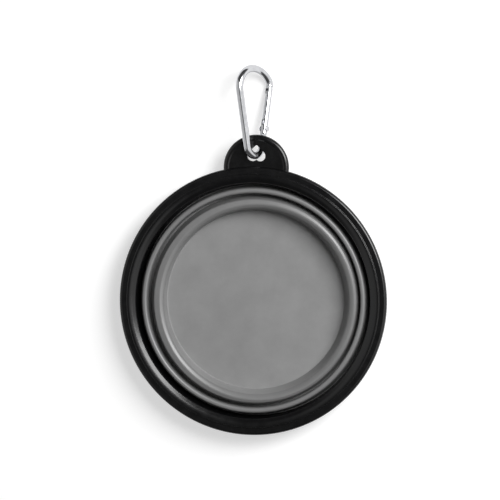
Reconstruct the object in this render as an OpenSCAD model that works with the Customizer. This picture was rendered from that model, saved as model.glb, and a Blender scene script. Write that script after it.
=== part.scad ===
// Collapsible silicone bowl, folded flat, with a snap hook through its hanging tab.
// The origin is the centre of the base's underside. +Z is up and +Y points to the tab.
// Radii grow outwards from the floor, so a change of one size moves what lies outside it.

/* [Bowl wall] */
// Radius of the flat inside of the floor
floor_r = 43.1; // [38:0.1:56]
// Thickness of the floor
floor_t = 2.2; // [1.6:0.1:3.2]
// How far the base wall leans out over its height
base_lean = 1.9; // [0.8:0.1:4]
// Radial thickness of the base wall
base_wall_t = 2.1; // [1.6:0.1:3.2]
// Rounding inside the bowl, where the floor meets the wall
floor_round = 1.4; // [0.6:0.1:3]
// Rounding of the base's outer bottom edge
foot_round = 2; // [0.8:0.1:3]
// Radial thickness of the middle ring and of the upper wall
ring_wall_t = 1.55; // [1.2:0.05:2.4]
// How far the middle ring and the upper wall lean out over their height
ring_lean = 0.6; // [0.2:0.05:2]

/* [Folds] */
// Height from the underside of a valley to the top of a crest
fold_h = 9.4; // [7:0.1:13]
// Height of the valleys' undersides above the table
valley_z = 2.6; // [1:0.1:4]
// Radial thickness of the lower fold
lower_fold_t = 1.4; // [0.9:0.05:2]
// Radial thickness of the upper fold
upper_fold_t = 1.1; // [0.9:0.05:2]
// How far the lower fold spreads out from its crest to its valley
lower_fold_spread = 2.5; // [1:0.1:5]
// How far the upper fold spreads out from its crest to its valley
upper_fold_spread = 1.05; // [0.6:0.05:4]
// Thickness of a fold's edges over the crest and under the valley
fold_edge_t = 0.9; // [0.7:0.05:1.4]
// Gap between a fold and the rings that it joins
seam = 0.12; // [0.05:0.01:0.25]

/* [Rim] */
// Width of the rim from its inner to its outer edge
rim_w = 8.6; // [7.5:0.1:12]
// Width of the flat outer flange
flange_w = 3.7; // [3:0.1:4.5]
// Thickness of the outer flange
flange_t = 3.2; // [2.8:0.1:4.5]
// Height of the inner bead above the flange
bead_h = 1; // [0.5:0.1:1.6]
// Height of the bead's inner edge above the bonded lip
bead_edge_h = 0.9; // [0.6:0.1:1.3]
// Thickness of the silicone lip that is bonded under the rim
lip_t = 1.6; // [1.1:0.1:2]
// Width of the bonded lip
lip_w = 4.1; // [3.5:0.1:5]
// Thickness of the rim's skirt, which lines the upper wall
skirt_t = 0.7; // [0.5:0.05:1]
// How far the rim's underside lies below the crests
rim_drop = 0.6; // [0:0.1:2]
// Rounding of the rim's outer edge
rim_round = 0.8; // [0.6:0.1:1.6]

/* [Tab] */
// Radius of the round tab
tab_r = 15.9; // [14.5:0.1:20]
// Thickness of the tab's plate
tab_t = 2.1; // [1.8:0.1:2.6]
// Width of the tab's raised border
border_w = 2.3; // [1.6:0.1:3]
// Height of the border above the plate
border_h = 0.4; // [0.2:0.05:0.6]
// Play of the wire in the heart-shaped hole, beside the room that its slant needs
hole_play = 0.5; // [0.4:0.05:1]
// Rounding of the hole's tip
heart_tip_r = 0.8; // [0.3:0.1:1.2]
// Width left between the hole's tip and the tab's edge
tab_bar = 4.8; // [4.2:0.1:6]

/* [Snap hook] */
// Diameter of the hook's wire
wire_d = 3.6; // [3:0.1:4]
// Radius of the small bend, at the middle of the wire
bend_r = 5.2; // [5:0.1:6]
// Length of the hook, from the middle of the small bend to the middle of its top
hook_len = 42; // [38:0.5:55]
// Distance of the nose from the hook's long axis
nose_x = 11.3; // [9.5:0.1:13]
// Distance from the middle of the hook's top down to the end of the nose
nose_drop = 8.6; // [8:0.1:10]
// Radius of the bend above the nose
nose_bend_r = 3.8; // [3:0.1:6.4]
// Radius of the bend at the top of the long side
crown_r = 9.2; // [6:0.1:10]
// Distance of the hook's highest point from its long axis, towards the long side
crown_x = 0.6; // [0:0.1:4]
// Turn of the hook about its long axis, as it lies
hook_roll = 54; // [50:1:60]
// Fall of the hook towards its wide end, as it lies
hook_pitch = 4.1; // [2:0.1:6]
// Turn of the hook to the left, as it lies
hook_lean = 3; // [0:0.5:4]
// How far the wire has slid sideways in the hole, as it lies
hook_slide = 1.2; // [0:0.1:1.5]

/* [Gate] */
// Outer diameter of the gate
gate_d = 3.4; // [3.2:0.1:3.8]
// Distance of the rivet from the small bend, along the gate
hinge_s = 9; // [8.5:0.1:11]
// Thickness of the flat tongues at the two ends of the wire
tongue_t = 1.4; // [1:0.1:1.5]
// Width of the flat tongues
tongue_w = 3; // [2.6:0.1:3.2]
// How far the hinge tongue reaches past the rivet
tongue_reach = 2.3; // [2:0.1:2.6]
// How far the rounded end of the gate reaches past the rivet
gate_heel = 2.6; // [2.2:0.1:3]
// Width of the slots in the gate
slot_w = 1.7; // [1.65:0.05:1.9]
// Gap between the end of the gate and the nose
nose_gap = 0.9; // [0.6:0.1:1.2]
// Diameter of the rivet
rivet_d = 1.6; // [1.2:0.1:1.8]
// Diameter of the rivet's heads
rivet_head_d = 2.8; // [2.4:0.1:3.2]
// Thickness of the rivet's heads
rivet_head_t = 0.5; // [0.3:0.1:0.8]
// Diameter of the latch pin
latch_d = 1; // [0.8:0.1:1.1]
// Clearance of the latch pin in the notch of the nose
latch_gap = 0.15; // [0.1:0.05:0.25]
// Radial clearance of the gate on its rivet, and of the pins in their holes
pin_gap = 0.04; // [0.02:0.01:0.08]
// Diameter of the bore that holds the spring
bore_d = 2; // [1.8:0.1:2.2]
// Clearance of the plunger and the spring in the bore
bore_gap = 0.1; // [0.05:0.01:0.15]
// Length of the plunger
plunger_len = 3.2; // [2.6:0.1:4]
// Room for the plunger to move back before it meets the spring
plunger_room = 0.8; // [0.75:0.05:1]
// Diameter of the spring's wire
spring_wire = 0.36; // [0.3:0.02:0.4]
// Least distance between the spring's turns, from wire middle to wire middle
spring_pitch = 0.86; // [0.8:0.02:1.2]
// Solid length between the spring's bore and the slot for the latch
bore_wall = 1.4; // [1:0.1:3]

/* [Hidden] */
$fn = 96;
// Steps of a rounded corner in an outline
corner_steps = 5;
// Steps of a lobe of the heart
lobe_steps = 14;
// Overlap of a cutter past the face that it cuts
past = 1;
// How far the straight stretches of the hook's wire reach into its bends
wire_lap = 0.3;
// How much the wire's radius swells in its bends
bend_swell = 0.02;
// Rounding of the rings' narrow edges
edge_round = 0.15;
// Rounding under the bonded lip, where the wall meets it
lip_round = 0.5;
// Rounding of the inner corners of a fold
web_round = 0.1;
// Roundings of a fold's edges: over the crest, under the valley, at their tips and at their inner corners
crest_round = fold_edge_t * 0.8;
valley_round = fold_edge_t * 0.6;
tip_round = fold_edge_t * 0.5;
tip_nick = fold_edge_t * 0.2;

// Heights of the folds and rings
crest_z = valley_z + fold_h;
ring_top = crest_z - fold_edge_t - seam;
ring_bottom = valley_z + fold_edge_t + seam;

// Radii from the floor outwards: in is a face towards the axis, out one away from it
base_in_top = floor_r + base_lean;
base_out_top = base_in_top + base_wall_t;
base_slope = base_lean / (ring_top - floor_t);
base_out_foot = floor_r + base_wall_t - floor_t * base_slope;
lower_in_top = base_out_top + seam;
lower_out_top = lower_in_top + lower_fold_t;
lower_in_low = lower_in_top + lower_fold_spread;
lower_out_low = lower_in_low + lower_fold_t;
middle_in_low = lower_out_low + seam;
middle_out_low = middle_in_low + ring_wall_t;
middle_in_top = middle_in_low + ring_lean;
middle_out_top = middle_in_top + ring_wall_t;
upper_in_top = middle_out_top + seam;
upper_out_top = upper_in_top + upper_fold_t;
upper_in_low = upper_in_top + upper_fold_spread;
upper_out_low = upper_in_low + upper_fold_t;
skirt_in_low = upper_out_low + seam;
skirt_out_low = skirt_in_low + skirt_t;
rim_in = skirt_in_low + ring_lean;
wall_in_low = skirt_out_low + seam;
wall_out_low = wall_in_low + ring_wall_t;
wall_in_top = wall_in_low + ring_lean;
wall_out_top = wall_in_top + ring_wall_t;
lip_r = rim_in + lip_w;
rim_r = rim_in + rim_w;
step_r = rim_r - flange_w;

// Heights of the rim
rim_under = crest_z - rim_drop;
seat_z = rim_under + lip_t;
flange_z = rim_under + flange_t;
bead_z = flange_z + bead_h;
bead_edge_z = seat_z + bead_edge_h;
// Widths from the rim's inner edge to where the bead's slope starts and ends, and the rise to its start
bead_edge_w = 0.9;
bead_slope_w = 3.5;
bead_rise = 0.6;
// Roundings of the bead: top of its slope, start of its slope and inner edge
bead_top_round = 1.2;
bead_slope_round = 0.8;
bead_edge_round = 0.4;

// Tab, its border and its hole
tab_inset = 0.5;
tab_lift = 0.1;
tab_foot_round = 0.6;
tab_y = rim_r - tab_inset;
tab_low = rim_under + tab_lift;
tab_top = tab_low + tab_t;
border_z = tab_top + border_h;
tab_mid_z = tab_low + tab_t / 2;
tab_joint_r = (step_r + rim_r) / 2;
tip_y = tab_y + tab_r - tab_bar;
heart_side = wire_d + tab_t / 2 + hole_play;
lobe_x = heart_side * sqrt(2) / 4;
lobe_y = heart_side * sqrt(2) * 3 / 4;
cusp_y = tip_y - heart_side * sqrt(2);

// Play between the wire and the cusp of the hole, and the middle of the wire there
hook_play = 0.15;
hook_y = cusp_y + wire_d / 2 + bend_swell + hook_play;

// Middle line of the hook, in its own plane: x to the gate, y to the wide end, from the small bend's centre
top_y = hook_len - bend_r;
nose = [nose_x, top_y - nose_drop];
gate_lean = acos(bend_r / norm(nose)) - atan2(nose[1], nose[0]);
nose_s = nose * [sin(gate_lean), cos(gate_lean)];
nose_centre = nose - nose_bend_r * [cos(gate_lean), -sin(gate_lean)];
nose_h = top_y - nose_centre[1];
nose_w = nose_centre[0] + crown_x;
top_r = (nose_w * nose_w + nose_h * nose_h - nose_bend_r * nose_bend_r) / (2 * (nose_h - nose_bend_r));
top_centre = [-crown_x, top_y - top_r];
top_sweep = atan2(nose_w, top_r - nose_h);
crown_centre = [-crown_x, top_y - crown_r];
spine_turn = asin((bend_r - crown_r) / norm(crown_centre));
spine_angle = atan2(crown_centre[1], crown_centre[0]) + 90 - spine_turn;
spine_dir = [cos(spine_angle), sin(spine_angle)];
spine_start = bend_r * spine_dir;
spine_end = crown_centre + crown_r * spine_dir;

// Gap between the wire's shoulder and the gate's heel
shoulder_gap = 1.2;
// Wall left between the notch of the nose and the end of its tongue
notch_wall = 0.8;
// Room past the tongues in the gate's slots
latch_room = 0.4;
hinge_room = 2;
// Gap in front of the plunger and behind the spring
end_gap = 0.1;
// How far the latch pin's ends lie inside the gate
latch_inset = 0.15;
// Sides of the spring's wire and steps of one turn
spring_sides = 8;
turn_steps = 14;

// Places along the gate, counted from the small bend
shoulder_s = hinge_s - gate_heel - shoulder_gap;
tongue_end = hinge_s + tongue_reach;
gate_end = nose_s - nose_gap;
latch_s = gate_end - latch_d;
nose_tongue_end = latch_s - latch_d / 2 - latch_gap - notch_wall;
latch_slot_end = nose_tongue_end - latch_room;
plunger_start = tongue_end + end_gap;
hinge_slot_end = tongue_end + hinge_room;
spring_start = plunger_start + plunger_len + plunger_room;
bore_end = latch_slot_end - bore_wall;
coil_h = bore_end - end_gap - spring_start - spring_wire;
spring_turns = floor(coil_h / spring_pitch);
spring_r = bore_d / 2 - bore_gap - spring_wire / 2;

rim_colour = "#17171a";
silicone_colour = "#8e8e8e";
metal_colour = "#c9ccd2";

function unit(v) = v / norm(v);

// Points of a circle's arc
function arc(centre, r, start, end, steps) =
    [for (i = [0:steps])
        let (angle = start + (end - start) * i / steps)
        centre + r * [cos(angle), sin(angle)]];

// One corner [x, y, radius] of an outline, rounded to its radius
function rounded_corner(before, at, after) =
    at[2] == 0 ? [[at[0], at[1]]] :
    let (
        point = [at[0], at[1]],
        back = unit([before[0], before[1]] - point),
        on = unit([after[0], after[1]] - point),
        half = acos(back * on) / 2,
        centre = point + unit(back + on) * at[2] / sin(half),
        first = point + back * at[2] / tan(half) - centre,
        last = point + on * at[2] / tan(half) - centre,
        start = atan2(first[1], first[0]),
        sweep = (atan2(last[1], last[0]) - start + 540) % 360 - 180
    )
    arc(centre, at[2], start, start + sweep, corner_steps);

// Outline through corners [x, y, radius]
function outline(corners) =
    let (count = len(corners))
    [for (i = [0:count - 1])
        each rounded_corner(corners[(i + count - 1) % count], corners[i], corners[(i + 1) % count])];

// Heart with its tip at the top, at the origin
function heart_outline() = concat(
    arc([0, -heart_tip_r * sqrt(2)], heart_tip_r, 135, 45, corner_steps),
    arc([lobe_x, -lobe_y], heart_side / 2, 45, -135, lobe_steps),
    [for (i = [1:lobe_steps]) arc([-lobe_x, -lobe_y], heart_side / 2, -45, -225, lobe_steps)[i]]
);

// Floor and lower wall of the bowl
module base_cup() {
    color(silicone_colour) rotate_extrude() polygon(outline([
        [0, 0, 0],
        [base_out_foot, 0, foot_round],
        [base_out_top, ring_top, edge_round],
        [base_in_top, ring_top, edge_round],
        [floor_r, floor_t, floor_round],
        [0, floor_t, 0]
    ]));
}

// Web of a fold: an edge over the crest, a leaning wall and an edge under the valley
module fold_web(crest_in, in_top, out_top, in_low, out_low, valley_out) {
    color(silicone_colour) rotate_extrude() polygon(outline([
        [crest_in, crest_z, tip_round],
        [out_top, crest_z, crest_round],
        [out_low, valley_z + fold_edge_t, web_round],
        [valley_out, valley_z + fold_edge_t, tip_nick],
        [valley_out, valley_z, tip_round],
        [in_low, valley_z, valley_round],
        [in_top, crest_z - fold_edge_t, web_round],
        [crest_in, crest_z - fold_edge_t, tip_nick]
    ]));
}

module lower_fold() {
    fold_web(base_in_top, lower_in_top, lower_out_top, lower_in_low, lower_out_low, middle_out_low);
}

module middle_ring() {
    color(silicone_colour) rotate_extrude() polygon(outline([
        [middle_in_low, ring_bottom, edge_round],
        [middle_out_low, ring_bottom, edge_round],
        [middle_out_top, ring_top, edge_round],
        [middle_in_top, ring_top, edge_round]
    ]));
}

module upper_fold() {
    fold_web(middle_in_top, upper_in_top, upper_out_top, upper_in_low, upper_out_low, wall_out_low);
}

// Upper wall of the bowl, with the lip that is bonded under the rim
module upper_wall() {
    color(silicone_colour) rotate_extrude() polygon(outline([
        [wall_in_low, ring_bottom, edge_round],
        [wall_out_low, ring_bottom, edge_round],
        [wall_out_top, rim_under, lip_round],
        [lip_r, rim_under, 0],
        [lip_r, seat_z, 0],
        [wall_in_top, seat_z, 0]
    ]));
}

// Ring of the rim: flat flange outside, bead with a sloping inner side and a skirt inside
module rim_ring() {
    rotate_extrude() polygon(outline([
        [skirt_in_low, ring_bottom, edge_round],
        [skirt_out_low, ring_bottom, edge_round],
        [rim_in + skirt_t, seat_z, 0],
        [lip_r + seam, seat_z, 0],
        [lip_r + seam, rim_under, 0],
        [rim_r, rim_under, rim_round / 2],
        [rim_r, flange_z, rim_round],
        [step_r, flange_z, bead_h * 0.3],
        [step_r, bead_z, bead_h * 0.4],
        [rim_in + bead_slope_w, bead_z, bead_top_round],
        [rim_in + bead_edge_w, bead_edge_z + bead_rise, bead_slope_round],
        [rim_in, bead_edge_z, bead_edge_round]
    ]));
}

// Round tab with a raised border, as far as the middle of the rim's flange
module tab_plate() {
    difference() {
        translate([0, tab_y, 0]) rotate_extrude() polygon(outline([
            [0, tab_low, 0],
            [tab_r, tab_low, tab_foot_round],
            [tab_r, border_z, border_w * 0.45],
            [tab_r - border_w, border_z, border_h * 0.6],
            [tab_r - border_w - border_h, tab_top, border_h * 0.6],
            [0, tab_top, 0]
        ]));
        translate([0, 0, tab_low - past]) cylinder(h = tab_t + border_h + 2 * past, r = tab_joint_r);
    }
}

module rim() {
    color(rim_colour) difference() {
        union() {
            rim_ring();
            tab_plate();
        }
        translate([0, tip_y, tab_low - past])
            linear_extrude(tab_t + 2 * past)
                polygon(heart_outline());
    }
}

// The hook hangs in the hole by its small bend, and lies on the table with its gate side
module hook_place() {
    translate([0, hook_y, tab_mid_z])
        rotate([0, 0, hook_lean])
            rotate([-hook_pitch, 0, 0])
                rotate([0, hook_roll, 0])
                    translate([-hook_slide, bend_r, 0])
                        children();
}

// A place on the gate's middle line, with y along the gate
module on_gate(s) {
    rotate([0, 0, -gate_lean]) translate([bend_r, s, 0]) children();
}

// Round bar along y
module bar(length, d) {
    rotate([-90, 0, 0]) cylinder(h = length, d = d);
}

// Bent stretch of the hook's wire
module wire_bend(centre, r, start, end, d = wire_d + 2 * bend_swell) {
    translate([centre[0], centre[1], 0])
        rotate([0, 0, start])
            rotate_extrude(angle = end - start)
                translate([r, 0])
                    circle(d = d);
}

// Flat tongue between two places along the gate
module tongue(start, end) {
    on_gate(start) translate([-tongue_w / 2, 0, -tongue_t / 2]) cube([tongue_w, end - start, tongue_t]);
}

// Tongue at the hinge, with an end round about the rivet for the plunger to run on
module hinge_tongue() {
    intersection() {
        tongue(shoulder_s - past, tongue_end + past);
        union() {
            tongue(shoulder_s - past, hinge_s);
            cross_hole(hinge_s, 2 * tongue_reach);
        }
    }
}

// Pin hole across the gate
module cross_hole(s, d) {
    on_gate(s) cylinder(h = 2 * wire_d, d = d, center = true);
}

// Wire of the hook: small bend, long side, crown, top, nose bend and the short side up to the hinge
module hook_wire() {
    top_lap = wire_lap / top_r * 180 / PI;
    wire_bend([0, 0], bend_r, spine_angle, 360 - gate_lean);
    translate([spine_start[0], spine_start[1], 0])
        rotate([0, 0, spine_angle - 180])
            translate([0, -wire_lap, 0])
                bar(norm(spine_end - spine_start) + 2 * wire_lap, wire_d);
    wire_bend(crown_centre, crown_r, 90, spine_angle);
    wire_bend(top_centre, top_r, 90 - top_sweep - top_lap, 90 + top_lap, wire_d);
    wire_bend(nose_centre, nose_bend_r, -gate_lean, 90 - top_sweep);
    on_gate(-wire_lap) bar(shoulder_s + wire_lap, wire_d);
}

module hook() {
    notch_d = latch_d + 2 * latch_gap;
    color(metal_colour) hook_place() {
        difference() {
            union() {
                hook_wire();
                hinge_tongue();
                tongue(nose_tongue_end, nose_s + wire_lap);
            }
            cross_hole(hinge_s, rivet_d + 2 * pin_gap);
            cross_hole(latch_s, notch_d);
            on_gate(latch_s) translate([-tongue_w, -notch_d / 2, -tongue_t])
                cube([tongue_w, notch_d, 2 * tongue_t]);
        }
    }
}

// Slotted tube with a rounded heel at the rivet
module gate() {
    color(metal_colour) hook_place() difference() {
        intersection() {
            on_gate(hinge_s - gate_heel) bar(gate_end - hinge_s + gate_heel, gate_d);
            union() {
                cross_hole(hinge_s, 2 * gate_heel);
                on_gate(hinge_s) translate([-gate_d, 0, -gate_d]) cube([2 * gate_d, gate_end, 2 * gate_d]);
            }
        }
        on_gate(hinge_s - gate_heel - past) translate([-gate_d, 0, -slot_w / 2])
            cube([2 * gate_d, hinge_slot_end - hinge_s + gate_heel + past, slot_w]);
        on_gate(latch_slot_end) translate([-gate_d, 0, -slot_w / 2])
            cube([2 * gate_d, gate_end - latch_slot_end + past, slot_w]);
        on_gate(tongue_end) bar(bore_end - tongue_end, bore_d);
        cross_hole(hinge_s, rivet_d + 2 * pin_gap);
        cross_hole(latch_s, latch_d + 2 * pin_gap);
    }
}

// Rivet with two flat round heads
module gate_rivet() {
    head_z = gate_d / 2 + pin_gap;
    color(metal_colour) hook_place() on_gate(hinge_s) {
        cylinder(h = 2 * head_z, d = rivet_d, center = true);
        for (side = [0, 1]) mirror([0, 0, side]) translate([0, 0, head_z])
            rotate_extrude() polygon(outline([
                [0, 0, 0],
                [rivet_head_d / 2, 0, 0],
                [rivet_head_d / 2, rivet_head_t, rivet_head_t * 0.7],
                [0, rivet_head_t, 0]
            ]));
    }
}

module latch_pin() {
    color(metal_colour) hook_place() on_gate(latch_s)
        cylinder(h = gate_d - 2 * latch_inset, d = latch_d, center = true);
}

module plunger() {
    color(metal_colour) hook_place() on_gate(plunger_start) bar(plunger_len, bore_d - 2 * bore_gap);
}

// Coil spring: the round wire's level section, turned along the axis
module gate_spring() {
    half_turn = 180 * spring_wire * spring_turns / coil_h;
    half_wire = spring_wire / 2;
    side = 360 / spring_sides;
    section = [for (i = [1:spring_sides]) [spring_r + half_wire * cos(i * side), half_turn * sin(i * side)]];
    coil_twist = -360 * spring_turns;
    coil_slices = turn_steps * spring_turns;
    color(metal_colour) hook_place() on_gate(spring_start + half_wire) rotate([-90, 0, 0])
        linear_extrude(coil_h, twist = coil_twist, slices = coil_slices, $fn = spring_sides)
            polygon([for (p = section) p[0] * [cos(p[1]), sin(p[1])]]);
}

base_cup();
lower_fold();
middle_ring();
upper_fold();
upper_wall();
rim();
hook();
gate();
gate_rivet();
latch_pin();
plunger();
gate_spring();
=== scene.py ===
import math

import bmesh
import bpy
from mathutils import Matrix, Vector


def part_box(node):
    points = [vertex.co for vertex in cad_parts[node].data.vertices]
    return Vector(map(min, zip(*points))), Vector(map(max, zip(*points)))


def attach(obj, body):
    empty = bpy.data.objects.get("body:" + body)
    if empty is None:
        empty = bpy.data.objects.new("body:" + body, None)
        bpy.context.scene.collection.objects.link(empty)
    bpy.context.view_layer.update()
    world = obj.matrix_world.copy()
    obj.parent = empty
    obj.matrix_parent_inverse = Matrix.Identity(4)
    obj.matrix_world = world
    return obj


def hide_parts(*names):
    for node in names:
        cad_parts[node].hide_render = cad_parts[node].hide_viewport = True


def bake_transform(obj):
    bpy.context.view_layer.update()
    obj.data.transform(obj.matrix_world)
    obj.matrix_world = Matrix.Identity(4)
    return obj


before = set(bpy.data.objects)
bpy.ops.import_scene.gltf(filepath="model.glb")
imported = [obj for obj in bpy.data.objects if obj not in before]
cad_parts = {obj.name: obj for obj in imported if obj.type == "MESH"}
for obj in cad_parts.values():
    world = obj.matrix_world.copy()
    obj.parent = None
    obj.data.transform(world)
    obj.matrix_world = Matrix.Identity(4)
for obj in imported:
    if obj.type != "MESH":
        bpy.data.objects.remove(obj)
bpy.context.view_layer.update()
mm = 0.001
print("frame loaded:", len(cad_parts), "nodes")


# Camera, at the photograph's angle
photoCamera = {
    "lean": (0.124, 0.063),      # lean of the view to the right and to the tab, as parts of its length
    "roll": 1.31,                # turn of the picture, in degrees
    "distance": 4000,            # mm from the picture's middle
    "field": 241.3,              # mm across the picture at that distance
    "middle": (-1.37, 24.64),    # mm from the bowl's axis to the picture's middle, across and up the picture
    "level": 14,                 # mm, height of the axis point that this is counted from
    "sensor": 36,
    "clipStart": 0.01,           # m
}


def aimCamera(settings):
    leanX, leanY = settings["lean"]
    back = Vector((leanX, leanY, math.sqrt(1 - leanX**2 - leanY**2)))
    up = Vector((0, 1, 0))
    up = (up - back * up.dot(back)).normalized()
    across = up.cross(back)
    turn = Matrix.Rotation(math.radians(settings["roll"]), 3, back)
    across, up = turn @ across, turn @ up
    middle = Vector((0, 0, settings["level"])) + across * settings["middle"][0] + up * settings["middle"][1]
    data = bpy.data.cameras.new("photoCamera")
    data.sensor_width = settings["sensor"]
    data.lens = settings["sensor"] * settings["distance"] / settings["field"]
    data.clip_start = settings["clipStart"]
    camera = bpy.data.objects.new("photoCamera", data)
    place = Matrix((across, up, back)).transposed().to_4x4()
    place.translation = (middle + back * settings["distance"]) * mm
    camera.matrix_world = place
    bpy.context.scene.collection.objects.link(camera)
    bpy.context.scene.camera = camera


aimCamera(photoCamera)
print("camera aimed")


# Materials: cloudy patches change the colour and the roughness a little, and a fine grain gives the bump
patchLevels = (0.3, 0.7)      # levels of the noise at which a patch is fully dark and fully light

frostedLook = {
    "dark": (0.25, 0.25, 0.25),           # floor and lower wall of the bowl
    "light": (0.287, 0.287, 0.287),
    "roughness": (0.5, 0.6),
    "patches": (12, 5, 0.6),              # size in mm, then detail and roughness of the noise
    "grain": (0.35, 2, 0.5),
    "grainDepth": 0.006,                  # mm
    "sockets": {"Specular IOR Level": 0.4, "IOR": 1.45},
}
# Darker copy of the silicone for the folds and upper wall: its smoother finish and gloss are real, its darker
# colour is painted shade
smoothShadedLook = {
    "dark": (0.18, 0.18, 0.18),           # folds and upper wall, darker than the floor as painted shade
    "light": (0.198, 0.198, 0.198),
    "roughness": (0.38, 0.44),
    "patches": (12, 5, 0.6),
    "grain": (0.35, 2, 0.5),
    "grainDepth": 0.006,
    "sockets": {"Specular IOR Level": 1.0, "IOR": 1.45},
}
plasticLook = {
    "dark": (0.0018, 0.0018, 0.002),      # rim and tab
    "light": (0.003, 0.003, 0.0033),
    "roughness": (0.2, 0.27),
    "patches": (4, 4, 0.6),
    "grain": (0.25, 2, 0.5),
    "grainDepth": 0.004,
    "sockets": {"IOR": 1.45},
}
platingLook = {
    "dark": (0.5, 0.505, 0.525),          # hook, gate and their pins
    "light": (0.6, 0.605, 0.62),
    "roughness": (0.07, 0.16),
    "patches": (2.5, 5, 0.6),
    "grain": (0.12, 2, 0.5),
    "grainDepth": 0.0012,
    "sockets": {"Metallic": 1},
}
springLook = {
    "dark": (0.36, 0.36, 0.37),           # plunger and spring
    "light": (0.55, 0.55, 0.56),
    "roughness": (0.24, 0.36),
    "patches": (1.2, 4, 0.5),
    "grain": (0.08, 2, 0.5),
    "grainDepth": 0.002,
    "sockets": {"Metallic": 1},
}


def addNoise(nodes, links, coords, size, detail, rough):
    noise = nodes.new("ShaderNodeTexNoise")
    noise.inputs["Scale"].default_value = 1 / (size * mm)
    noise.inputs["Detail"].default_value = detail
    noise.inputs["Roughness"].default_value = rough
    links.new(coords, noise.inputs["Vector"])
    return noise.outputs["Fac"]


def addRange(nodes, links, value, low, high, start, end):
    spread = nodes.new("ShaderNodeMapRange")
    spread.inputs["From Min"].default_value = start
    spread.inputs["From Max"].default_value = end
    spread.inputs["To Min"].default_value = low
    spread.inputs["To Max"].default_value = high
    links.new(value, spread.inputs["Value"])
    return spread.outputs["Result"]


def addRamp(nodes, links, value, dark, light):
    ramp = nodes.new("ShaderNodeValToRGB")
    for stop, level, colour in zip(ramp.color_ramp.elements, patchLevels, (dark, light)):
        stop.position = level
        stop.color = (*colour, 1)
    links.new(value, ramp.inputs["Fac"])
    return ramp.outputs["Color"]


def mottledFinish(name, look):
    material = bpy.data.materials.new(name)
    material.use_nodes = True
    nodes, links = material.node_tree.nodes, material.node_tree.links
    shader = nodes["Principled BSDF"]
    coords = nodes.new("ShaderNodeTexCoord").outputs["Object"]
    patches = addNoise(nodes, links, coords, *look["patches"])
    colour = addRamp(nodes, links, patches, look["dark"], look["light"])
    links.new(colour, shader.inputs["Base Color"])
    rough = addRange(nodes, links, patches, *look["roughness"], *patchLevels)
    links.new(rough, shader.inputs["Roughness"])
    bump = nodes.new("ShaderNodeBump")
    bump.inputs["Distance"].default_value = look["grainDepth"] * mm
    links.new(addNoise(nodes, links, coords, *look["grain"]), bump.inputs["Height"])
    links.new(bump.outputs["Normal"], shader.inputs["Normal"])
    for socket, level in look["sockets"].items():
        shader.inputs[socket].default_value = level
    return material


frostedSilicone = mottledFinish("frostedSilicone", frostedLook)
# The folds' material: a smoother finish, with painted shade in its colour
smoothShadedSilicone = mottledFinish("smoothShadedSilicone", smoothShadedLook)
blackPlastic = mottledFinish("blackPlastic", plasticLook)
platedSteel = mottledFinish("platedSteel", platingLook)
springSteel = mottledFinish("springSteel", springLook)
print("materials ready")


# Mesh helpers
ringDetail = {
    "turnSteps": 240,
    "cornerSteps": 8,
    "sharpAngle": 35,     # degrees
    "weld": 0.004,        # mm
}


def roundCorner(bm, vert, run):
    bmesh.ops.bevel(bm, geom=[vert], offset=run, offset_type="OFFSET", affect="VERTICES",
                    segments=ringDetail["cornerSteps"], profile=0.5, material=-1)


# A corner is its radius, its height and its rounding, in mm
def outlineWire(bm, corners, closed=True):
    verts = [bm.verts.new((radius * mm, 0, height * mm)) for radius, height, _ in corners]
    ends = verts[1:] + verts[:1] if closed else verts[1:]
    for a, b in zip(verts, ends):
        bm.edges.new((a, b))
    for vert, (_, _, rounding) in zip(verts, corners):
        if rounding:
            back, on = [edge.other_vert(vert).co - vert.co for edge in vert.link_edges]
            roundCorner(bm, vert, rounding * mm / math.tan(back.angle(on) / 2))


def spinWire(bm, centre=(0, 0, 0)):
    bmesh.ops.spin(bm, geom=bm.verts[:] + bm.edges[:], cent=centre, axis=(0, 0, 1), angle=2 * math.pi,
                   steps=ringDetail["turnSteps"], use_merge=True)


def addMesh(bm, other, name):
    mesh = bpy.data.meshes.new(name)
    other.to_mesh(mesh)
    other.free()
    bm.from_mesh(mesh)
    bpy.data.meshes.remove(mesh)


def finishPiece(name, bm, material):
    bmesh.ops.remove_doubles(bm, verts=bm.verts, dist=ringDetail["weld"] * mm)
    bmesh.ops.recalc_face_normals(bm, faces=bm.faces)
    sharp = math.radians(ringDetail["sharpAngle"])
    for face in bm.faces:
        face.smooth = True
    for edge in bm.edges:
        edge.smooth = edge.calc_face_angle(0) < sharp
    mesh = bpy.data.meshes.new(name)
    bm.to_mesh(mesh)
    bm.free()
    mesh.materials.append(material)
    piece = bpy.data.objects.new(name, mesh)
    bpy.context.scene.collection.objects.link(piece)
    return piece


def keepFlats(piece):
    piece.modifiers.new("flatFaces", "WEIGHTED_NORMAL").keep_sharp = True


def spunPiece(name, corners, material):
    bm = bmesh.new()
    outlineWire(bm, corners)
    spinWire(bm)
    return finishPiece(name, bm, material)


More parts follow.
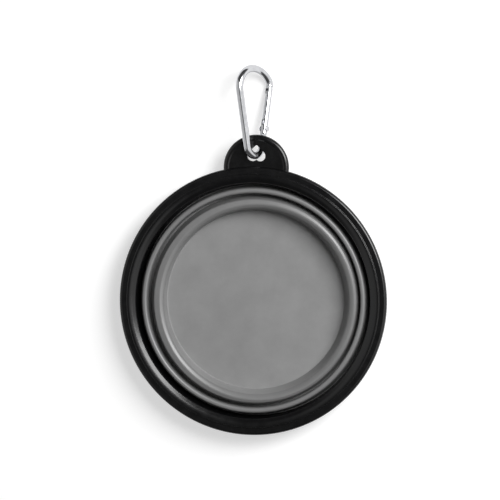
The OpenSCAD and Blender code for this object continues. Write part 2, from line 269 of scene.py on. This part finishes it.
# Silicone bowl: one moulding, in the zones that move against each other. Radii, heights and roundings in mm
bowl = {
    "floorRadius": 43.3,
    "floorEdge": 2.2,                  # height of the floor's edge; the floor is crowned a little from it
    "floorMiddle": 2.6,
    "floorThickness": 1.9,
    "floorRound": 0.5,
    "floorCurves": (2000, 1800),       # roundings of the crown, above and below
    "footInside": 40.6,                # inner radius of the ring that the bowl stands on
    "footSlope": 0.6,
    "footInsideRound": 0.5,
    "footRadius": 44.72,
    "footRound": 2,
    "baseWallIn": 45.0,                # inner face of the lower wall, at its top
    "baseWallOut": 47.1,
    "frostEndShadeStart": 45.0,                  # the frosted floor and lower wall end here; outside it the folds' colour is painted shade
    "innerCrest": 47.2,                # radius of the crest's top
    "innerCrestRound": 1.6,
    "innerCrestSlopes": (30, 18),      # degrees, slopes of the crest's inner and outer sides
    "wallRound": 2.4,
    "shoulderRound": 0.9,
    "lowerWebIn": (47.4, 49.455),      # faces of the lower fold's web, at its top and at its foot
    "lowerWebOut": (49.5, 51.12),
    "middleIn": (52.0, 51.45),         # faces of the middle wall, at its top and at its foot
    "middleOut": (53.39, 52.79),
    "outerCrestRound": 1.1,
    "upperWebIn": (53.58, 54.449),
    "upperWebOut": (54.55, 55.66),
    "upperWallIn": (57.85, 56.6),
    "upperWallOut": (59.1, 58.15),
    "lipRadius": 60.48,
    "lipUnder": 11.4,                  # underside of the lip and of the rim's flange
    "lipRound": 0.1,
    "lipFillet": 0.5,
    "crestHeight": 1.5,                # heights of a crest and of a valley, past the ends of their webs
    "valleyHeight": 0.9,
    "valleyDrafts": (0.26, 0.11),      # the inner and outer valley's underside starts this far outside its web
    "valleyRounds": (0.5, 0.45),       # roundings of an underside, at its web and at its wall
    "valleyFill": (5.0, 4.4),          # heights of the inner valley's thick root, at its wall and at its web
    "valleyFillRound": 0.2,
    "valleyFillOverlap": 0.1,
    "webSteps": 40,
    "webShift": (0.6, -0.2),           # the soft lower fold leans a little off centre
    "crestShift": (0.6, -0.15),        # its crest, inside crestEnd, leans this much more
    "crestEnd": 48.2,
}
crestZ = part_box("lower_fold")[1].z / mm
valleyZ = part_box("lower_fold")[0].z / mm
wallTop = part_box("base_cup")[1].z / mm
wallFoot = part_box("middle_ring")[0].z / mm
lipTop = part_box("upper_wall")[1].z / mm
webTop = crestZ - bowl["crestHeight"]
webFoot = valleyZ + bowl["valleyHeight"]


def onLine(top, foot, height):
    return top + (foot - top) * (webTop - height) / (webTop - webFoot)


def innerCrestCorners():
    inner, outer = [math.radians(slope) for slope in bowl["innerCrestSlopes"]]
    radius, rounding = bowl["innerCrest"], bowl["innerCrestRound"]
    above = math.cos((inner - outer) / 2) / math.cos((inner + outer) / 2) - 1
    peak = crestZ + rounding * above      # the rounded top comes out at crestZ
    top, foot = bowl["lowerWebOut"]
    lean = (foot - top) / (webTop - webFoot)
    shoulder = (peak - math.tan(outer) * (top + lean * webTop - radius)) / (1 - math.tan(outer) * lean)
    return [
        (onLine(top, foot, shoulder), shoulder, bowl["shoulderRound"]),
        (radius, peak, rounding),
        (bowl["baseWallIn"], peak - math.tan(inner) * (radius - bowl["baseWallIn"]), bowl["wallRound"]),
    ]


# Leans what is above the web's foot, and leaves the foot where it is
def leanOver(bm, verts, shift):
    foot = webFoot * mm
    x, y = [part / (webTop - webFoot) for part in shift]
    lean = Matrix(((1, 0, x, -x * foot), (0, 1, y, -y * foot), (0, 0, 1, 0), (0, 0, 0, 1)))
    bmesh.ops.transform(bm, matrix=lean, verts=[vert for vert in verts if vert.co.z > foot])


def bowlBase():
    edge, middle, thickness = bowl["floorEdge"], bowl["floorMiddle"], bowl["floorThickness"]
    curveAbove, curveBelow = bowl["floorCurves"]
    corners = [
        (0, middle - thickness, 0),
        (bowl["footInside"] / 2, middle - thickness, curveBelow),
        (bowl["footInside"] - bowl["footSlope"], edge - thickness, bowl["floorRound"]),
        (bowl["footInside"], 0, bowl["footInsideRound"]),
        (bowl["footRadius"], 0, bowl["footRound"]),
        (bowl["baseWallOut"], wallTop, 0),
        (bowl["lowerWebIn"][0], webTop, 0),
        (bowl["lowerWebOut"][0], webTop, 0),
        *innerCrestCorners(),
        (bowl["floorRadius"], edge, bowl["floorRound"]),
        (bowl["floorRadius"] / 2, middle, curveAbove),
        (0, middle, 0),
    ]
    bm = bmesh.new()
    outlineWire(bm, corners, closed=False)
    spinWire(bm)
    for face in bm.faces:
        # Faces inside this radius take the frosted floor's own tone; the folds outside take the darker tone,
        # which is painted shade
        face.material_index = int(face.calc_center_median().xy.length < bowl["frostEndShadeStart"] * mm)
    crest = [vert for vert in bm.verts if vert.co.xy.length < bowl["crestEnd"] * mm]
    leanOver(bm, bm.verts, bowl["webShift"])
    leanOver(bm, crest, bowl["crestShift"])
    piece = finishPiece("bowlBase", bm, smoothShadedSilicone)
    piece.data.materials.append(frostedSilicone)
    keepFlats(piece)
    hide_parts("base_cup")
    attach(piece, "base")


def foldWeb(name, inside, outside, node, leaning=False):
    bm = bmesh.new()
    outlineWire(bm, [
        (inside[1], webFoot, 0),
        (outside[1], webFoot, 0),
        (outside[0], webTop, 0),
        (inside[0], webTop, 0),
    ])
    walls = [edge for edge in bm.edges if abs(edge.verts[0].co.z - edge.verts[1].co.z) > mm]
    bmesh.ops.subdivide_edges(bm, edges=walls, cuts=bowl["webSteps"])
    spinWire(bm)
    if leaning:
        leanOver(bm, bm.verts, bowl["webShift"])
    piece = finishPiece(name, bm, smoothShadedSilicone)
    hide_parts(node)
    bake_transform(piece)


def middleWall():
    atWeb, atWall = bowl["valleyRounds"]
    wallFill, webFill = bowl["valleyFill"]
    corners = [
        (bowl["lowerWebIn"][1], webFoot, 0),
        (bowl["lowerWebIn"][1] + bowl["valleyDrafts"][0], valleyZ, atWeb),
        (bowl["middleOut"][1], valleyZ, atWall),
        (bowl["middleOut"][0], wallTop, 0),
        (bowl["upperWebIn"][0], webTop, 0),
        (bowl["upperWebOut"][0], webTop, 0),
        (onLine(*bowl["upperWebOut"], crestZ), crestZ, bowl["outerCrestRound"]),
        (bowl["middleIn"][0], crestZ, bowl["outerCrestRound"]),
        (onLine(*bowl["middleIn"], wallFill), wallFill, bowl["valleyFillRound"]),
        (onLine(*bowl["lowerWebOut"], webFill) - bowl["valleyFillOverlap"], webFill, 0),
        (bowl["lowerWebOut"][1], webFoot, 0),
    ]
    piece = spunPiece("middleWall", corners, smoothShadedSilicone)
    keepFlats(piece)
    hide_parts("middle_ring")
    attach(piece, "middle")


def upperWall():
    atWeb, atWall = bowl["valleyRounds"]
    corners = [
        (bowl["upperWebIn"][1], webFoot, 0),
        (bowl["upperWebIn"][1] + bowl["valleyDrafts"][1], valleyZ, atWeb),
        (bowl["upperWallOut"][1], valleyZ, atWall),
        (bowl["upperWallOut"][0], bowl["lipUnder"], bowl["lipFillet"]),
        (bowl["lipRadius"], bowl["lipUnder"], bowl["lipRound"]),
        (bowl["lipRadius"], lipTop, bowl["lipRound"]),
        (bowl["upperWallIn"][0], lipTop, bowl["lipRound"]),
        (bowl["upperWallIn"][1], webFoot, 0),
        (bowl["upperWebOut"][1], webFoot, 0),
    ]
    piece = spunPiece("upperWall", corners, smoothShadedSilicone)
    keepFlats(piece)
    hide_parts("upper_wall")
    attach(piece, "top")


bowlBase()
foldWeb("lowerWeb", bowl["lowerWebIn"], bowl["lowerWebOut"], "lower_fold", leaning=True)
middleWall()
foldWeb("upperWeb", bowl["upperWebIn"], bowl["upperWebOut"], "upper_fold")
upperWall()
print("silicone bowl modelled")


# Black rim with its round tab, in mm
rim = {
    "inside": 57.0,
    "skirtIn": 55.78,            # foot of the skirt that lines the upper wall
    "skirtThickness": 0.7,
    "skirtRound": 0.15,
    "lipOut": 60.6,              # groove that holds the bowl's lip
    "lipRound": 0.1,
    "seat": 13.0,
    "outside": 64.98,
    "flangeTop": 14.6,
    "flangeRound": 1.4,
    "step": 61.28,               # the bead rises from the flange here
    "stepRound": 0.3,
    "beadTop": 15.6,
    "beadRounds": (0.25, 5.0),   # roundings of the bead, outside and inside
    "beadSlope": 2.5,            # width of the slope into the mouth
    "beadEdge": 13.9,
    "mouthEdge": (0.3, 0.6),     # width and height of the steep edge under the slope
    "mouthRounds": (0.3, 0.2),
    "tabCentre": 64.48,
    "tabRadius": 15.9,
    "tabLow": 11.5,
    "tabTop": 13.6,
    "tabLowRound": 0.6,
    "tabCut": 61.5,              # the tab ends inside the flange
    "borderTop": 14.0,
    "borderWidth": 2.3,
    "borderFall": 0.4,
    "borderRound": 1.5,
    "borderFallRound": 0.24,
    "borderMargin": 0.6,         # flat margin that is spun with the border
    "heartTip": 75.58,
    "heartSide": 5.15,
    "heartTipRound": 0.8,
    "lobeSteps": 24,
    "flatWithin": 0.001,         # how close a point is to a flat face that it counts as part of
    "cutWithin": 0.0001,
}


def rimRing():
    bm = bmesh.new()
    beadOut, beadIn = rim["beadRounds"]
    edgeWidth, edgeHeight = rim["mouthEdge"]
    mouthTop, mouthLow = rim["mouthRounds"]
    outlineWire(bm, [
        (rim["skirtIn"], wallFoot, rim["skirtRound"]),
        (rim["skirtIn"] + rim["skirtThickness"], wallFoot, rim["skirtRound"]),
        (rim["inside"] + rim["skirtThickness"], rim["seat"], 0),
        (rim["lipOut"], rim["seat"], 0),
        (rim["lipOut"], bowl["lipUnder"], rim["lipRound"]),
        (rim["outside"], bowl["lipUnder"], rim["flangeRound"] / 2),
        (rim["outside"], rim["flangeTop"], rim["flangeRound"]),
        (rim["step"], rim["flangeTop"], rim["stepRound"]),
        (rim["step"], rim["beadTop"], beadOut),
        (rim["inside"] + rim["beadSlope"], rim["beadTop"], beadIn),
        (rim["inside"] + edgeWidth, rim["beadEdge"] + edgeHeight, mouthTop),
        (rim["inside"], rim["beadEdge"], mouthLow),
    ])
    spinWire(bm)
    return bm


# Outline of the heart: two sides of a square that stands on its corner, and a half circle on each of the others
def heartWire(bm, height):
    half = rim["heartSide"] / math.sqrt(2)
    tip = Vector((0, rim["heartTip"], height)) * mm
    tipVert = bm.verts.new(tip)
    cusp = tip + Vector((0, -2 * half, 0)) * mm
    for hand in (1, -1):
        corner = tip + Vector((hand * half, -half, 0)) * mm
        vert = bm.verts.new(corner)
        bm.edges.new((tipVert, vert))
        bmesh.ops.spin(bm, geom=[vert], cent=(corner + cusp) / 2, axis=(0, 0, -hand), angle=math.pi,
                       steps=rim["lobeSteps"])
    roundCorner(bm, tipVert, rim["heartTipRound"] * mm)
    bmesh.ops.remove_doubles(bm, verts=bm.verts, dist=ringDetail["weld"] * mm)


def heartWall():
    bm = bmesh.new()
    heartWire(bm, rim["tabTop"])
    wall = bmesh.ops.extrude_edge_only(bm, edges=bm.edges[:])["geom"]
    low = [item for item in wall if isinstance(item, bmesh.types.BMVert)]
    bmesh.ops.translate(bm, verts=low, vec=(0, 0, (rim["tabLow"] - rim["tabTop"]) * mm))
    return bm


def tabPlate():
    bm = bmesh.new()
    flat = rim["tabRadius"] - rim["borderWidth"] - rim["borderFall"]
    outlineWire(bm, [
        (flat - rim["borderMargin"], rim["tabLow"], 0),
        (rim["tabRadius"], rim["tabLow"], rim["tabLowRound"]),
        (rim["tabRadius"], rim["borderTop"], rim["borderRound"]),
        (rim["tabRadius"] - rim["borderWidth"], rim["borderTop"], rim["borderFallRound"]),
        (flat, rim["tabTop"], rim["borderFallRound"]),
        (flat - rim["borderMargin"], rim["tabTop"], 0),
    ], closed=False)
    bmesh.ops.translate(bm, verts=bm.verts, vec=(0, rim["tabCentre"] * mm, 0))
    spinWire(bm, (0, rim["tabCentre"] * mm, 0))
    addMesh(bm, heartWall(), "heartHole")
    for height in (rim["tabTop"], rim["tabLow"]):
        rings = [edge for edge in bm.edges if edge.is_boundary
                 and all(abs(vert.co.z - height * mm) < rim["flatWithin"] * mm for vert in edge.verts)]
        bmesh.ops.triangle_fill(bm, edges=rings, use_beauty=True, normal=(0, 0, 1))
    cut = bmesh.ops.bisect_plane(bm, geom=bm.verts[:] + bm.edges[:] + bm.faces[:], dist=rim["cutWithin"] * mm,
                                 plane_co=(0, rim["tabCut"] * mm, 0), plane_no=(0, 1, 0), clear_inner=True)
    cutEdges = [item for item in cut["geom_cut"] if isinstance(item, bmesh.types.BMEdge)]
    bmesh.ops.holes_fill(bm, edges=cutEdges)
    return bm


def rimMoulding():
    bm = rimRing()
    addMesh(bm, tabPlate(), "tabPlate")
    piece = finishPiece("rimMoulding", bm, blackPlastic)
    keepFlats(piece)
    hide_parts("rim")
    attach(piece, "top")


rimMoulding()
print("rim and tab modelled")


# Snap hook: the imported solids, plated or plain
hookFinishes = {
    "hook": platedSteel,
    "gate": platedSteel,
    "gate_rivet": platedSteel,
    "latch_pin": platedSteel,
    "plunger": springSteel,
    "gate_spring": springSteel,
}
for nodeName, finish in hookFinishes.items():
    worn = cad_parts[nodeName].data.materials
    worn.clear()
    worn.append(finish)
print("snap hook plated")


# White table and light
studio = {
    "tableSize": 8,                # m
    "tableGap": 0.05,              # mm under the bowl's foot
    "tableShade": 0.8,             # white that lights the part
    "shownShade": 0.6,             # share of the table's shown white that light and shadow still change
    "shownGlow": 0.59,             # the rest of it
    "fillLevel": 0.1,              # light from all round
    "roomLevel": 0.1,              # dim room, as metal and gloss show it
    "cardLevel": 0.62,             # white card at the left
    "cardEdge": (-0.42, -0.18),    # sideways parts of a direction between which the card ends
    "windowLevel": 1.0,            # bright side of the room at the right
    "windowEdge": (0.08, 0.22),
    "sideWidth": (0.35, 0.6),      # part of a direction towards or away from the tab, over which both fade out
    "softboxSize": (0.44, 0.68),   # m, width and height
    "softboxDistance": 1.0,        # m
    "softboxElevation": 48,        # degrees
    "softboxAzimuth": 37,          # degrees from the right towards the tab
    "softboxLevel": 0.88,          # share of a plain white level on the table
}


def addMath(nodes, links, operation, *values):
    node = nodes.new("ShaderNodeMath")
    node.operation = operation
    for value, socket in zip(values, node.inputs):
        links.new(value, socket)
    return node


def seenDirectly(nodes, links):
    path = nodes.new("ShaderNodeLightPath")
    seen = path.outputs["Is Camera Ray"]
    for kind in ("Is Glossy Ray", "Is Transmission Ray"):
        seen = addMath(nodes, links, "MAXIMUM", seen, path.outputs[kind]).outputs[0]
    return seen


def addShade(nodes, grey):
    shade = nodes.new("ShaderNodeBsdfDiffuse")
    shade.inputs["Color"].default_value = (grey, grey, grey, 1)
    return shade.outputs[0]


def tableWhite():
    material = bpy.data.materials.new("whiteTable")
    material.use_nodes = True
    nodes, links = material.node_tree.nodes, material.node_tree.links
    nodes.clear()
    output = nodes.new("ShaderNodeOutputMaterial")
    glow = nodes.new("ShaderNodeEmission")
    glow.inputs["Strength"].default_value = studio["shownGlow"]
    shown = nodes.new("ShaderNodeAddShader")
    links.new(addShade(nodes, studio["shownShade"]), shown.inputs[0])
    links.new(glow.outputs[0], shown.inputs[1])
    mix = nodes.new("ShaderNodeMixShader")
    links.new(seenDirectly(nodes, links), mix.inputs["Fac"])
    links.new(addShade(nodes, studio["tableShade"]), mix.inputs[1])
    links.new(shown.outputs[0], mix.inputs[2])
    links.new(mix.outputs[0], output.inputs["Surface"])
    return material


def whiteTable():
    bm = bmesh.new()
    bmesh.ops.create_grid(bm, x_segments=1, y_segments=1, size=studio["tableSize"] / 2)
    bmesh.ops.translate(bm, verts=bm.verts, vec=(0, 0, -studio["tableGap"] * mm))
    mesh = bpy.data.meshes.new("whiteTable")
    bm.to_mesh(mesh)
    bm.free()
    mesh.materials.append(tableWhite())
    table = bpy.data.objects.new("whiteTable", mesh)
    bpy.context.scene.collection.objects.link(table)


def softbox():
    data = bpy.data.lights.new("softbox", "AREA")
    data.shape = "RECTANGLE"
    data.size, data.size_y = studio["softboxSize"]
    rise, turn = math.radians(studio["softboxElevation"]), math.radians(studio["softboxAzimuth"])
    distance = studio["softboxDistance"]
    data.energy = studio["softboxLevel"] * math.pi**2 * distance**2 / math.sin(rise)
    lamp = bpy.data.objects.new("softbox", data)
    toLamp = Vector((math.cos(rise) * math.cos(turn), math.cos(rise) * math.sin(turn), math.sin(rise)))
    lamp.location = toLamp * distance
    lamp.rotation_euler = toLamp.to_track_quat("Z", "Y").to_euler()
    bpy.context.scene.collection.objects.link(lamp)


def worldFill():
    world = bpy.data.worlds.new("studioWorld")
    bpy.context.scene.world = world
    world.use_nodes = True
    nodes, links = world.node_tree.nodes, world.node_tree.links
    parts = nodes.new("ShaderNodeSeparateXYZ")
    links.new(nodes.new("ShaderNodeTexCoord").outputs["Generated"], parts.inputs[0])
    card = addRange(nodes, links, parts.outputs["X"], studio["cardLevel"], 0, *studio["cardEdge"])
    window = addRange(nodes, links, parts.outputs["X"], 0, studio["windowLevel"], *studio["windowEdge"])
    sides = addMath(nodes, links, "ADD", card, window).outputs[0]
    depth = addMath(nodes, links, "ABSOLUTE", parts.outputs["Y"]).outputs[0]
    width = addRange(nodes, links, depth, 1, 0, *studio["sideWidth"])
    room = addMath(nodes, links, "MULTIPLY_ADD", sides, width)
    room.inputs[2].default_value = studio["roomLevel"]
    path = nodes.new("ShaderNodeLightPath")
    level = nodes.new("ShaderNodeMix")
    level.inputs["A"].default_value = studio["fillLevel"]
    links.new(path.outputs["Is Glossy Ray"], level.inputs["Factor"])
    links.new(room.outputs[0], level.inputs["B"])
    shown = nodes.new("ShaderNodeMix")
    shown.inputs["B"].default_value = 1      # white behind the table
    links.new(path.outputs["Is Camera Ray"], shown.inputs["Factor"])
    links.new(level.outputs["Result"], shown.inputs["A"])
    background = nodes["Background"]
    background.inputs["Color"].default_value = (1, 1, 1, 1)
    links.new(shown.outputs["Result"], background.inputs["Strength"])


whiteTable()
softbox()
worldFill()
bpy.context.scene.view_settings.view_transform = "Standard"
print("table and light set")

bpy.context.view_layer.update()
